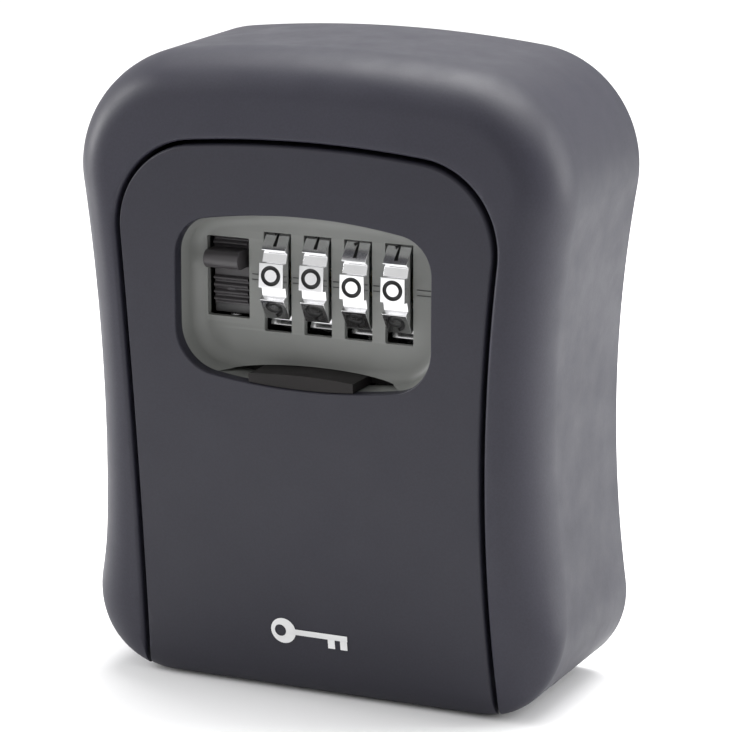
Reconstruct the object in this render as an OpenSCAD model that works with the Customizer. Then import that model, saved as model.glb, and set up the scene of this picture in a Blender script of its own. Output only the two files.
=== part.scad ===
// Wall key safe with a four wheel combination lock, in millimetres.
// The frame's origin is the centre of the four wall bolts, on the wall face.
// +X is to the right seen from the front, -Y is the front and +Z is up.
// Inside the modules heights count from the foot of the box (see placed) and
// depths count forward from the wall (see slab).

/* [Casing] */
// Height of the casing
body_h = 120; // [110:1:135]
// Width across the upper shoulders
shoulder_w = 96.9; // [88:0.1:105]
// Width at the waist
waist_w = 89.2; // [80:0.1:95]
// Depth at the crown of the bowed front
body_d = 42.6; // [38:0.1:48]
// Radius of the arched top
arch_r = 260.5; // [150:0.5:400]
// Radius of the upper corners
shoulder_r = 21.15; // [15:0.05:28]
// Radius of the hollow sides
side_r = 246; // [150:1:500]
// Radius of the lower corners
foot_r = 16; // [10:0.5:20]
// Radius of the front's bow seen from the side
bow_r = 396; // [250:1:900]
// Height of the bow's crown
bow_z = 71; // [50:1:90]
// Wall thickness of the casting
wall = 3; // [2:0.1:4]
// Thickness of the front frame
frame_t = 4; // [3:0.1:6]
// Softness of the outer front edge
edge_r = 3; // [1.5:0.1:4]

/* [Door] */
// Height of the door's crown
door_h = 103.9; // [98:0.1:106]
// Width of the door across its shoulders
door_shoulder_w = 73.8; // [68:0.1:80]
// Width of the door at its waist
door_waist_w = 68.6; // [62:0.1:74]
// Radius of the door's arched top
door_arch_r = 223.5; // [150:0.5:400]
// Radius of the door's upper corners
door_corner_r = 15.35; // [8:0.05:20]
// Radius of the door's hollow sides
door_side_r = 536; // [300:1:900]
// Gap round the door
door_gap = 0.8; // [0.5:0.05:1.2]
// Thickness of the door's front plate
door_t = 2.6; // [2:0.1:3.5]
// Width of the dial window
window_w = 50.6; // [44:0.1:56]
// Height of the window's lower edge at the middle
window_low = 59.6; // [54:0.1:64]
// Height of the window's upper edge at the middle
window_high = 91.3; // [86:0.1:96]
// Depth of the dial panel behind the door's face
panel_drop = 7.3; // [5:0.1:9]
// Thickness of the dial panel
panel_t = 1.2; // [1:0.05:1.4]
// Width of the finger pull
pull_w = 20.8; // [14:0.1:26]
// Height of the top of the finger pull's pocket
pocket_top = 62.4; // [61:0.1:64]
// Radius of the window's arched top and bottom
window_bulge = 115; // [60:1:300]
// Radius of the window's upper corners
window_round_top = 7; // [4:0.5:10]
// Radius of the window's lower corners
window_round_low = 8.5; // [4:0.5:12]

/* [Dials] */
// Distance from the axis to a digit's flat
dial_flat = 10.95; // [9:0.05:12]
// Width of a dial
dial_w = 4.85; // [4:0.05:5.2]
// Distance between dials
dial_pitch = 8.05; // [7.5:0.05:9]
// Depth of the grooves between digits
dial_groove = 1.15; // [0.6:0.05:1.6]
// Half the angle of a digit's flat
land_half = 12; // [9:0.5:14]
// Radius of the axle
axle_r = 1.6; // [1.2:0.05:2]
// Height of the dials' axis
dial_z = 78.4; // [74:0.1:82]
// Depth of the dials' axis
dial_y = 27.25; // [24:0.05:29]
// Width of a dial slot
slot_w = 5.5; // [5.2:0.05:6]
// Height of a dial slot
slot_h = 18.4; // [17:0.1:20]
// Radius of the code sleeves
sleeve_r = 5; // [4:0.1:6]

/* [Slider] */
// Width of the slider's opening
gate_w = 8.5; // [7.5:0.1:9.5]
// Height of the slider's opening
gate_h = 14.9; // [12:0.1:17]
// Travel of the slider from the photographed place to open
travel_open = 5; // [4:0.1:6]
// Travel of the slider from the photographed place to latched
travel_latch = 1.9; // [1:0.1:2.1]
// Width of the slider's thumb piece
thumb_w = 7; // [6:0.1:7.4]
// Distance between the slider's ribs
rib_pitch = 1.9; // [1.2:0.1:2.4]
// Turns of the slider's spring
spring_turns = 5; // [3:1:8]

/* [Mounting] */
// Distance between the wall bolts, across
bolt_dx = 44; // [36:1:56]
// Distance between the wall bolts, up and down
bolt_dz = 60; // [50:1:70]
// Radius of a wall bolt hole
bolt_r = 2.6; // [2:0.1:3.2]

/* [Hidden] */
$fn = 48;
bow_fn = 144;
origin_h = body_h / 2;
wide = 200;
run_fit = 0.05;
near_fit = 0.02;
clear = 0.3;

// casing
case_half = shoulder_w / 2;
case_waist = waist_w / 2;
front_z = function(z) body_d - pow(z - bow_z, 2) / (2 * bow_r);
edge_depths = [1, 0.45, 0.16, 0];
floor_y = 23.5;
floor_half = 34;
boss_x = [36, 46];
boss_y = [26.5, 34];
boss_top = 12.5;
liner_t = 1.5;
bolt_clear_r = 5.5;

// hinge
hinge_y = 32.2;
hinge_z = 7;
pin_r = 1.5;
pin_x = [28.6, 39.6];
lug_x = [27, 34.6];
lug_r = 3.4;

// strike and hook
strike_x = [-27, -9.7];
strike_y = [33.4, 36.3];
strike_z = [104.9, 113];
strike_screw_z = 109.4;
strike_places = strike_x + [2.6, -2.6];
hook_z = 52;
hook_half = 7;
hook_reach = 12;

// screws
head_r = 2;
head_t = 1.3;
shank_r = 1;
cross_w = 0.6;
cross_l = 3;
cross_t = 0.6;

// door
door_half = door_shoulder_w / 2;
door_waist = door_waist_w / 2;
rim_back = 33.6;
rim_w = 2.2;
panel_y = front_z(77) - panel_drop;
panel_back = panel_y - panel_t;
box_posts = [[-29, 66], [29, 66], [-29, 90], [29, 90]];
post_r = 2.4;
pocket_half = 21;
mark_spans = [[-13.2, -11.4], [-5, -3], [3, 5], [11, 13], [19.6, 22.4]];
mark_z = [dial_z - 0.9, dial_z + 0.1];
mark_w = 0.3;
mark_t = 0.15;
pull_x = -0.4;
pull_bar_half = 22;

// dials
dial_x = [for (k = [0:3]) -dial_pitch + k * dial_pitch];
dial_turn = [4.5, 5.5, 1, 2];
digits = 10;
step = 360 / digits;
rock_top = dial_flat / cos(land_half);
dial_slot_z = dial_z - 1;
sleeve_w = 2.3;
sleeve_gate_w = 3.4;
sleeve_gate_t = 2.2;

// slider and bolt
gate_x = -18.05;
gate_z = 77.65;
slide_x = -18.35;
thumb_y = 36.3;
thumb_z = 81.1;
thumb_r = 1.7;
pad_back = 33;
pad_face = panel_back - clear;
pad_low = 72;
pad_high = 88.4;
rib_r = 0.35;
ribs = 8;
bolt_back = 31.5;
bolt_w = 7;
bolt_low = 70.5;
bolt_top = 104.2;
rivet_z = [74.6, 86.6];
rivet_r = 0.8;
comb_low = dial_z + rock_top + clear + travel_open + 0.1;
comb_t = 2.5;
finger_low = dial_z + sleeve_r + 0.35 + travel_open;

// lock box
box_back = 14;
box_wall = 1.6;
box_x = [-25.6, 23.6];
box_z = [60.6, comb_low + comb_t + travel_latch + clear + box_wall];
box_front = rim_back - 0.5;
rib_wall_x = [-13.6, -12];
lug_w = 2.6;
lug_h = 3;
lug_t = 2.3;
detent_low = dial_z - rock_top - 0.35;
detent_y = [17.2, 20.6, 21, 28];
detent_half = 1.6;
detent_t = 0.4;
spring_y = 31.2;
spring_r = 1;
spring_wire = [0.55, 1.8];
spring_z = [box_z[0] + box_wall + 0.1, bolt_low - 0.3];

// code change lever
lever_x = 13;
lever_z = 70;
lever_r = 2.6;
lever_half = 1.3;
lever_t = 1.3;
lever_len = 9;
lever_grip = 2;

// ---- helpers ----

module placed() translate([0, 0, -origin_h]) children();

// Children and their mirror image on the left.
module both() {
  children();
  mirror([1, 0, 0]) children();
}

// Extrudes a front view outline from depth d0 to depth d1.
module slab(d0, d1) translate([0, -d0, 0]) rotate([90, 0, 0]) linear_extrude(d1 - d0) children();

// Everything behind the bowed front, brought back by inset.
module bowed(inset) translate([0, bow_r - body_d, bow_z]) rotate([0, 90, 0])
  cylinder(r = bow_r - inset, h = wide, center = true, $fn = bow_fn);

// A rod along X between the two values of x, at depth y and height z.
module rod_x(x, y, z, r) translate([x[0], -y, z]) rotate([0, 90, 0]) cylinder(r = r, h = x[1] - x[0]);

// A rod along Y from depth d0 to depth d1.
module rod_y(x, z, d0, d1, r) translate([x, -d0, z]) rotate([90, 0, 0]) cylinder(r = r, h = d1 - d0);

// A box between the two values of x, of the depth d and of the height z.
module box3(x, d, z) translate([x[0], -d[1], z[0]]) cube([x[1] - x[0], d[1] - d[0], z[1] - z[0]]);

// The two ends of a length w about the middle c.
function about(c, w) = [c - w / 2, c + w / 2];

// A cross head screw. Its head's underside is at depth d, and way is 1 if its shank runs forward.
module screw(x, z, d, length, way = 1) translate([x, -d, z]) rotate([0, 0, way > 0 ? 0 : 180])
  difference() {
    union() {
      rod_y(0, 0, -head_t, 0, head_r);
      rod_y(0, 0, -head_t / 2, length, shank_r);
    }
    for (a = [0, 90]) rotate([0, a, 0])
      box3(about(0, cross_l), [-head_t - 1, cross_t - head_t], about(0, cross_w));
  }

// Points on an arc about c from angle a0 to a1 in n steps.
function arc(c, r, a0, a1, n) =
  [for (k = [0:n]) let (a = a0 + (a1 - a0) * k / n) c + r * [cos(a), sin(a)]];

// Mirrors a right half outline, from the top of the middle to its foot, into a whole one.
module both_sides(half)
  polygon(concat(half, [for (k = [len(half) - 1:-1:1]) [-half[k][0], half[k][1]]]));

// Waisted shield outline of tangent arcs. ra arch, rc corners, rs hollow sides,
// rf lower corners (0 runs straight out below the foot), i an even inset.
module shield(h, ra, rc, half, waist, rs, rf, i) {
  top = [0, h - ra];
  corner = [half - rc, h - ra + sqrt(pow(ra - rc, 2) - pow(half - rc, 2))];
  sx = waist + rs;
  side = [sx, corner[1] - sqrt(pow(rs + rc, 2) - pow(sx - corner[0], 2))];
  foot = [sx - sqrt(pow(rs + rf, 2) - pow(side[1] - rf, 2)), rf];
  a_top = atan2(corner[1] - top[1], corner[0]);
  a_side = atan2(side[1] - corner[1], side[0] - corner[0]);
  a_foot = atan2(side[1] - foot[1], side[0] - foot[0]);
  a_end = rf > 0 ? a_foot : asin((side[1] + 2) / (rs + i));
  both_sides(concat(
    arc(top, ra - i, 90, a_top, 6),
    arc(corner, rc - i, a_top, 0, 8),
    arc(corner, rc - i, a_side / 2, a_side, 1),
    arc(side, rs + i, 180 + a_side * 0.85, 180 + a_end, 10),
    rf > 0 ? arc(foot, rf - i, a_foot / 2, 0, 1) : [],
    rf > 0 ? arc(foot, rf - i, -10, -90, 8) : []
  ));
}

module case_outline(i) shield(body_h, arch_r, shoulder_r, case_half, case_waist, side_r, foot_r, i);

module door_outline(i)
  shield(door_h, door_arch_r, door_corner_r, door_half, door_waist, door_side_r, 0, i);

// Rounded window with a slightly arched top and bottom, brought in by i.
module window_outline(i) {
  half = window_w / 2;
  rt = window_round_top;
  rl = window_round_low;
  top = [0, window_high - window_bulge];
  low = [0, window_low + window_bulge];
  c_top = [half - rt, top[1] + sqrt(pow(window_bulge - rt, 2) - pow(half - rt, 2))];
  c_low = [half - rl, low[1] - sqrt(pow(window_bulge - rl, 2) - pow(half - rl, 2))];
  a_top = atan2(c_top[1] - top[1], c_top[0]);
  a_low = atan2(c_low[1] - low[1], c_low[0]);
  both_sides(concat(
    arc(top, window_bulge - i, 90, a_top, 4),
    arc(c_top, rt - i, a_top - 10, 0, 7),
    arc(c_low, rl - i, 0, a_low + 10, 7),
    arc(low, window_bulge - i, a_low, -90, 4)
  ));
}

// ---- casing ----

module case_block() for (d = edge_depths) intersection() {
  slab(0, body_d + 1) case_outline(edge_r * (1 - sqrt(1 - pow(1 - d, 2))));
  bowed(edge_r * d);
}

module bolt_places() for (x = about(0, bolt_dx), z = about(origin_h, bolt_dz))
  translate([x, 0, z]) children();

module body_case() color([0.30, 0.30, 0.34]) placed() difference() {
  union() {
    difference() {
      case_block();
      intersection() {
        slab(wall, body_d + 1) case_outline(wall);
        bowed(frame_t);
      }
    }
    intersection() {
      both() box3(boss_x, boss_y, [0, boss_top]);
      slab(0, body_d) case_outline(1);
    }
  }
  slab(floor_y, body_d + 5) door_outline(-door_gap);
  box3([-floor_half, floor_half], [floor_y, body_d + 5], [-1, wall]);
  both() rod_x([33, pin_x[1] + 0.3], hinge_y, hinge_z, pin_r + near_fit);
  bolt_places() rod_y(0, 0, -1, wall + 1, bolt_r);
  for (x = strike_places) rod_y(x, strike_screw_z, 33, 39.4, shank_r + near_fit);
  rod_y(0, hook_z, 1, wall + 1, shank_r + near_fit);
}

module back_liner() color([0.12, 0.12, 0.13]) placed() difference() {
  slab(wall + near_fit, wall + liner_t) case_outline(wall + 1.2);
  bolt_places() rod_y(0, 0, 0, 10, bolt_clear_r);
  box3(about(0, 18), [0, 10], about(hook_z, 14));
}

module hinge_pins() color([0.75, 0.75, 0.77]) placed() both() rod_x(pin_x, hinge_y, hinge_z, pin_r);

module strike_plate() color([0.66, 0.67, 0.69]) placed() difference() {
  box3(strike_x, strike_y, strike_z);
  for (x = strike_places) rod_y(x, strike_screw_z, 30, 40, shank_r + 0.04);
}

module strike_screws() color([0.7, 0.7, 0.72]) placed()
  for (x = strike_places) screw(x, strike_screw_z, strike_y[0] - near_fit, 5.8);

module key_hook() color([0.1, 0.1, 0.11]) placed() difference() {
  union() {
    box3(about(0, 2 * hook_half), [wall + near_fit, wall + 1.8], about(hook_z, 10));
    box3(about(0, 4), [wall + 1, wall + hook_reach], [hook_z - 5, hook_z - 2.4]);
    box3(about(0, 4), [wall + hook_reach - 2, wall + hook_reach], [hook_z - 5, hook_z + 1.6]);
  }
  rod_y(0, hook_z, 0, 8, shank_r + 0.04);
}

module hook_screw() color([0.7, 0.7, 0.72]) placed() screw(0, hook_z, wall + 1.82, 3.6, -1);

// ---- door ----

module door_cover() color([0.27, 0.27, 0.31]) placed() difference() {
  union() {
    difference() {
      union() {
        intersection() {
          slab(rim_back, body_d + 1) door_outline(0);
          bowed(0.5);
          box3([-wide, wide], [0, body_d], [0.3, body_h]);
        }
        intersection() {
          slab(rim_back, body_d + 1) door_outline(0.35);
          bowed(0);
          box3([-wide, wide], [0, body_d], [0.6, body_h]);
        }
      }
      intersection() {
        slab(rim_back - 1, body_d + 1) door_outline(rim_w);
        bowed(door_t);
        box3([-wide, wide], [0, body_d], [2.5, body_h]);
      }
    }
    intersection() {
      both() {
        rod_x(lug_x, hinge_y, hinge_z, lug_r);
        box3(lug_x, [hinge_y, 38], [0.6, hinge_z + lug_r]);
      }
      slab(20, body_d) door_outline(0.35);
      bowed(1);
    }
    for (p = box_posts) rod_y(p[0], p[1], rim_back + near_fit, front_z(p[1]) - door_t + 0.3, post_r);
  }
  slab(rim_back, body_d + 5) window_outline(0);
  both() rod_x([28, 36], hinge_y, hinge_z, pin_r + run_fit);
  for (p = box_posts) rod_y(p[0], p[1], rim_back - 1, rim_back + 4.1, shank_r + near_fit);
}

// The slots for the dials, with room for the dials behind the panel's face.
module dial_slots() for (x = dial_x) {
  box3(about(x, slot_w), [30, 50], about(dial_slot_z, slot_h));
  rod_x(about(x, slot_w), dial_y, dial_z, rock_top + clear);
}

// The lens shaped pocket above the window's lower edge.
module pocket_outline(i = 0) both_sides(concat(
  arc([0, pocket_top - window_bulge], window_bulge - i, 90, acos(pocket_half / window_bulge), 5),
  [[pocket_half, window_low - 3], [0, window_low - 3]]
));

module lock_panel() color([0.44, 0.45, 0.44]) placed() difference() {
  union() {
    intersection() {
      slab(panel_back, body_d) window_outline(-1.2);
      bowed(door_t + run_fit);
    }
    intersection() {
      slab(panel_back, body_d) window_outline(-2.6);
      bowed(door_t + run_fit);
      difference() {
        slab(20, body_d) square([wide, wide * 2], center = true);
        bowed(door_t + 1.25);
      }
    }
  }
  slab(panel_y + 1.1, body_d + 1) window_outline(0);
  slab(panel_y + 0.4, body_d + 1) window_outline(0.9);
  slab(panel_y, body_d + 1) window_outline(2);
  dial_slots();
  box3(about(gate_x, gate_w), [30, 50], about(gate_z, gate_h));
  slab(panel_y - 3, body_d) intersection() {
    pocket_outline();
    window_outline(0);
  }
  for (z = mark_z, x = mark_spans) box3(x, [panel_y - mark_t, 50], about(z, mark_w));
  for (p = box_posts) rod_y(p[0], p[1], 30, 50, post_r + 0.2);
}

module finger_pull() color([0.15, 0.14, 0.15]) placed() {
  intersection() {
    slab(panel_back - 0.5, body_d) intersection() {
      pocket_outline(0.1);
      window_outline(0.15);
      translate([pull_x - pull_w / 2, 0]) square([pull_w, body_h]);
    }
    bowed(0.45);
  }
  slab(panel_back - 0.85, panel_back - run_fit) intersection() {
    translate([-pull_bar_half, window_low + 0.6]) square([2 * pull_bar_half, 5]);
    window_outline(-2);
  }
}

module lock_box() color([0.2, 0.2, 0.22]) placed() difference() {
  union() {
    difference() {
      box3(box_x, [box_back, box_front], box_z);
      box3(box_x + box_wall * [1, -1], [box_back + box_wall, rim_back], box_z + box_wall * [1, -1]);
    }
    box3(rib_wall_x, [box_back + 1, 30.5], [box_z[0] + 1, 84]);
    for (p = box_posts)
      box3(p[0] > 0 ? [box_x[1] - 1, p[0] + lug_w] : [p[0] - lug_w, box_x[0] + 1],
        [rim_back - lug_t - 0.1, rim_back - 0.1], about(p[1], 2 * lug_h));
  }
  rod_x([-15, box_x[1] + 5], dial_y, dial_z, axle_r + run_fit + 0.01);
  box3(about(slide_x, bolt_w + 0.8), [bolt_back - clear, 50], [box_z[1] - 4, box_z[1] + 2]);
  for (p = box_posts) rod_y(p[0], p[1], rim_back - 5, rim_back + 4, shank_r + 0.04);
  rod_y(lever_x, lever_z, box_back - 1, box_back + 3, 0.92);
}

module box_screws() color([0.7, 0.7, 0.72]) placed()
  for (p = box_posts) screw(p[0], p[1], rim_back - lug_t - 0.12, 6.2);

// A strip on the box's floor with a tongue under each dial.
module detent_spring() color([0.78, 0.76, 0.68]) placed() {
  base = box_z[0] + box_wall + near_fit;
  box3([-11, box_x[1] - box_wall - 0.2], [detent_y[0], detent_y[2]], [base, base + 0.5]);
  for (x = dial_x) {
    box3(about(x, 2 * detent_half), [detent_y[1], detent_y[2]], [base, detent_low]);
    box3(about(x, 2 * detent_half), [detent_y[1], detent_y[3]], [detent_low - detent_t, detent_low]);
  }
}

// ---- dials ----

module dial_axle() color([0.72, 0.73, 0.75]) placed() {
  rod_x([-14.6, box_x[1] + 0.4], dial_y, dial_z, axle_r);
  rod_x([-16.2, -14.6], dial_y, dial_z, axle_r + 1);
}

// The four corners of one digit's land and the groove after it.
function land(a) = [
  rock_top * [cos(a - land_half), sin(a - land_half)],
  rock_top * [cos(a + land_half), sin(a + land_half)],
  (rock_top - dial_groove) * [cos(a + land_half + 0.6), sin(a + land_half + 0.6)],
  (rock_top - dial_groove) * [cos(a + step - land_half - 0.6), sin(a + step - land_half - 0.6)]
];

// One dial: ten flats with grooves between them, and a shallow ring sunk in each side.
module dial(k) color([0.80, 0.81, 0.83]) placed() translate([dial_x[k], -dial_y, dial_z])
  rotate([-dial_turn[k], 0, 0]) rotate([0, 90, 0]) difference() {
    linear_extrude(dial_w, center = true)
      polygon([for (n = [0:digits - 1]) each land(n * step)] * [[0, -1], [1, 0]]);
    cylinder(r = axle_r + run_fit, h = 20, center = true);
    for (m = [-1, 1]) translate([0, 0, m * dial_w / 2]) difference() {
      cylinder(r = rock_top - 3, h = 0.8, center = true);
      cylinder(r = sleeve_r + 0.6, h = 2, center = true);
    }
  }

module dial_1() dial(0);
module dial_2() dial(1);
module dial_3() dial(2);
module dial_4() dial(3);

// The code sleeve on a dial's right side, with its gate uppermost at digit 0.
module sleeve(k) color([0.76, 0.64, 0.36]) placed()
  translate([dial_x[k] + dial_w / 2, -dial_y, dial_z]) rotate([0, 90, 0]) difference() {
    cylinder(r = sleeve_r, h = sleeve_w);
    translate([0, 0, -1]) cylinder(r = axle_r + run_fit, h = 6);
    translate([-sleeve_r - 2, -sleeve_gate_w / 2, -1]) cube([sleeve_gate_t + 2, sleeve_gate_w, 6]);
  }

module code_sleeve_1() sleeve(0);
module code_sleeve_2() sleeve(1);
module code_sleeve_3() sleeve(2);
module code_sleeve_4() sleeve(3);

// ---- slider and bolt ----

module rivet_places() for (z = rivet_z) translate([slide_x, 0, z]) children();

module open_slider() color([0.22, 0.21, 0.23]) placed() difference() {
  across = about(slide_x, thumb_w);
  union() {
    box3(across, [pad_back + near_fit, pad_face - rib_r], [pad_low, pad_high]);
    for (n = [0:ribs - 1])
      rod_x(across + [clear, -clear], pad_face - rib_r, pad_low + 1 + n * rib_pitch, rib_r);
    box3(across, [pad_back + near_fit, thumb_y], about(thumb_z, 2 * thumb_r));
    rod_x(across, thumb_y, thumb_z, thumb_r);
  }
  rivet_places() rod_y(0, 0, 30, pad_back + 0.4, rivet_r + near_fit);
}

// The plate behind the slider, with a nose that slopes back so that it snaps past the strike.
module bolt_plate() color([0.68, 0.69, 0.71]) placed() difference() {
  union() {
    box3(about(slide_x, bolt_w), [bolt_back, pad_back], [bolt_low, bolt_top - 1.4]);
    translate([slide_x - bolt_w / 2, 0, 0]) rotate([90, 0, 90]) linear_extrude(bolt_w)
      polygon([[-bolt_back, bolt_top - 1.5], [-pad_back, bolt_top - 1.5], [-pad_back, bolt_top],
        [-bolt_back - 1, bolt_top], [-bolt_back, bolt_top - 1]]);
  }
  rivet_places() rod_y(0, 0, 28, 40, rivet_r + near_fit);
}

// The bar behind the bolt plate, with a finger over each code sleeve.
module fence_comb() color([0.66, 0.67, 0.69]) placed() {
  box3([slide_x - bolt_w / 2, dial_x[3] + 5], [25.75, bolt_back - near_fit],
    [comb_low, comb_low + comb_t]);
  for (x = dial_x) box3([x + 2.8, x + 4.4], [26, 28.5], [finger_low, comb_low + 1]);
}

module slider_rivets() color([0.72, 0.7, 0.66]) placed() rivet_places() {
  rod_y(0, 0, bolt_back - 0.9, bolt_back - near_fit, 1.5);
  rod_y(0, 0, bolt_back - 0.5, pad_back + 0.35, rivet_r);
}

module slider_spring() color([0.74, 0.75, 0.77]) placed()
  translate([slide_x, -spring_y, spring_z[0]])
    linear_extrude(spring_z[1] - spring_z[0], twist = -360 * spring_turns, slices = 12 * spring_turns,
      $fn = 4) translate([spring_r, -spring_wire[1] / 2]) square(spring_wire);

// ---- code change lever ----

module reset_lever() color([0.55, 0.16, 0.13]) placed() difference() {
  face = box_back - 0.1;
  stem = about(lever_x, 2 * lever_half);
  union() {
    rod_y(lever_x, lever_z, face - lever_t, face, lever_r);
    box3(stem, [face - lever_t, face], [lever_z, lever_z + lever_len]);
    box3(stem, [face - lever_t - 1.8, face], [lever_z + lever_len - lever_grip, lever_z + lever_len]);
  }
  rod_y(lever_x, lever_z, 0, 20, 0.95);
}

module lever_rivet() color([0.72, 0.7, 0.66]) placed() {
  rod_y(lever_x, lever_z, box_back - 2.2, box_back - 1.45, 1.9);
  rod_y(lever_x, lever_z, box_back - 2, box_back + box_wall - 0.2, 0.9);
}

body_case();
back_liner();
hinge_pins();
strike_plate();
strike_screws();
key_hook();
hook_screw();
door_cover();
lock_panel();
finger_pull();
lock_box();
box_screws();
detent_spring();
dial_axle();
dial_1();
dial_2();
dial_3();
dial_4();
code_sleeve_1();
code_sleeve_2();
code_sleeve_3();
code_sleeve_4();
open_slider();
bolt_plate();
fence_comb();
slider_rivets();
slider_spring();
reset_lever();
lever_rivet();
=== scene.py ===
"""Wall key safe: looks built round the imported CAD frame. Lengths are in millimetres until a mesh is made."""
import math

import bmesh
import bpy
from mathutils import Matrix, Vector


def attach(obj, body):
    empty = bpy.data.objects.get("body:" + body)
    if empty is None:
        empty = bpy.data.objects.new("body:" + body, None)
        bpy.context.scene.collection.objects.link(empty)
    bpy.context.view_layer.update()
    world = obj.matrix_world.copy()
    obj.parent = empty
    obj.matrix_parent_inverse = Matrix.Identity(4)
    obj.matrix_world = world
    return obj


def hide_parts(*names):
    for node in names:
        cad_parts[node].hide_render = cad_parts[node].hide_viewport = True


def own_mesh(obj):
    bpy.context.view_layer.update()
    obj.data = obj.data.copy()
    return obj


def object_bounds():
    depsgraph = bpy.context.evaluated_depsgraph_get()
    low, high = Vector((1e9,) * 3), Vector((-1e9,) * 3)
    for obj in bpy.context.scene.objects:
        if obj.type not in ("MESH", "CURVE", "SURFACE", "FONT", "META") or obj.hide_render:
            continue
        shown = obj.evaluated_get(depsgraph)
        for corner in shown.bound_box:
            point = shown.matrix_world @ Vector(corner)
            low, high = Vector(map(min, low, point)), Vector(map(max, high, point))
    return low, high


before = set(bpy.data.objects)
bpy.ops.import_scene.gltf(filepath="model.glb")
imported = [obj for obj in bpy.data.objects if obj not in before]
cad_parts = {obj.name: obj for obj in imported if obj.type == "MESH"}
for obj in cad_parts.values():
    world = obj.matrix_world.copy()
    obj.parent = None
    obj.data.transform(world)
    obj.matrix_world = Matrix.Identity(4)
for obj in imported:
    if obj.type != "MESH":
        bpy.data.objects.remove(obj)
cad_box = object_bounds()

MM = 0.001
ORIGIN_H = 60.0

# ---- driving sizes, the same as the CAD model's ----
BODY_H, BODY_D = 120.0, 42.6
BOW_R, BOW_Z = 396.0, 71.0
CASE = dict(h=BODY_H, ra=260.5, rc=21.15, half=48.45, waist=44.6, rs=246.0, rf=16.0)
DOOR = dict(h=103.9, ra=223.5, rc=15.35, half=36.9, waist=34.3, rs=536.0, rf=0.0)
DOOR_GAP = 0.8
WALL, FRAME_T, FLOOR_Y = 3.0, 4.0, 23.5
DOOR_T, RIM_BACK = 2.6, 33.6
HINGE_Y, HINGE_Z, PIN_R, PIN_END, BOSS_TOP = 32.2, 7.0, 1.55, 39.9, 12.5
BOLT_DX, BOLT_DZ, BOLT_R = 44.0, 60.0, 2.6
WINDOW = dict(half=25.3, low=59.6, high=91.3, bulge=115.0, r_top=7.0, r_low=8.5)
PANEL_DROP, PANEL_T = 7.3, 1.2
DIAL_Z, DIAL_Y, DIAL_PITCH, DIAL_W = 78.4, 27.25, 8.05, 4.85
DIAL_FLAT, LAND_HALF, GROOVE = 10.95, 12.0, 1.15
DIAL_TURN = (4.5, 5.5, 1.0, 2.0)
DIAL_X = [(k - 1) * DIAL_PITCH for k in range(4)]
STROKE_R = 0.4
SLOT_W, SLOT_H = 5.5, 18.4
GATE_X, GATE_Z, GATE_W, GATE_H = -18.05, 77.65, 8.5, 14.9
SLIDE_X, THUMB_W, THUMB_Z, THUMB_R = -18.35, 7.0, 81.1, 1.7
THUMB_Y = 36.3
PAD_BACK, PAD_LOW, PAD_HIGH = 33.0, 72.0, 88.4
PAD_VALLEY, PAD_CREST, RIB_STEP = 33.25, 33.85, 1.32
RIVET_Z = (74.6, 86.6)
SPRING_Z, SPRING_Y, SPRING_R, SPRING_WIRE_R, SPRING_TURNS = (62.3, 70.2), 31.2, 1.3, 0.24, 6
POCKET_TOP, POCKET_HALF, PULL_W, PULL_X = 62.4, 21.0, 20.8, -0.4
MARK_SPANS = ((-13.2, -11.4), (-5.0, -3.0), (3.0, 5.0), (11.0, 13.0), (19.6, 22.4))
MARK_X, MARK_Z = -0.7, 12.4
BOX_POSTS = [(x, z) for x in (-29.0, 29.0) for z in (66.0, 90.0)]


def front(z):
    """Depth of the bowed front at height z."""
    return BODY_D - (z - BOW_Z) ** 2 / (2 * BOW_R)


PANEL_Y = front(77.0) - PANEL_DROP


def place(x, depth, z):
    """A point across, forward from the wall and up from the foot, in the row frame in metres."""
    return Vector((x, -depth, z - ORIGIN_H)) * MM


# ---- outlines: lists of (x, z) ----
def arc(cx, cz, r, a0, a1, n, skip_first=False):
    steps = range(1 if skip_first else 0, n + 1)
    angles = [math.radians(a0 + (a1 - a0) * k / n) for k in steps]
    return [(cx + r * math.cos(a), cz + r * math.sin(a)) for a in angles]


def both_sides(half):
    """A right half outline from the top of the middle to the bottom, closed by its mirror image."""
    inner = [p for p in half if abs(p[0]) > 1e-6]
    return half + [(-x, z) for x, z in reversed(inner)]


def shield(h, ra, rc, half, waist, rs, rf, inset=0.0, foot_z=-4.0):
    """Waisted shield of tangent arcs, brought in by inset. rf 0 runs straight out below the foot."""
    top_z = h - ra
    cx = half - rc
    cz = top_z + math.sqrt((ra - rc) ** 2 - cx ** 2)
    sx = waist + rs
    sz = cz - math.sqrt((rs + rc) ** 2 - (sx - cx) ** 2)
    fx = sx - math.sqrt((rs + rf) ** 2 - (sz - rf) ** 2)
    a_top = math.degrees(math.atan2(cz - top_z, cx))
    a_side = math.degrees(math.atan2(sz - cz, sx - cx))
    a_foot = math.degrees(math.atan2(sz - rf, sx - fx))
    a_end = a_foot if rf else math.degrees(math.asin((sz - foot_z) / (rs + inset)))
    pts = arc(0, top_z, ra - inset, 90, a_top, 24)
    pts += arc(cx, cz, rc - inset, a_top, 0, 28, True) + arc(cx, cz, rc - inset, 0, a_side, 4, True)
    pts += arc(sx, sz, rs + inset, 180 + a_side, 180 + a_end, 40, True)
    if rf:
        pts += arc(fx, rf, rf - inset, a_foot, 0, 3, True) + arc(fx, rf, rf - inset, 0, -90, 24, True)
    return both_sides(pts)


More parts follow.
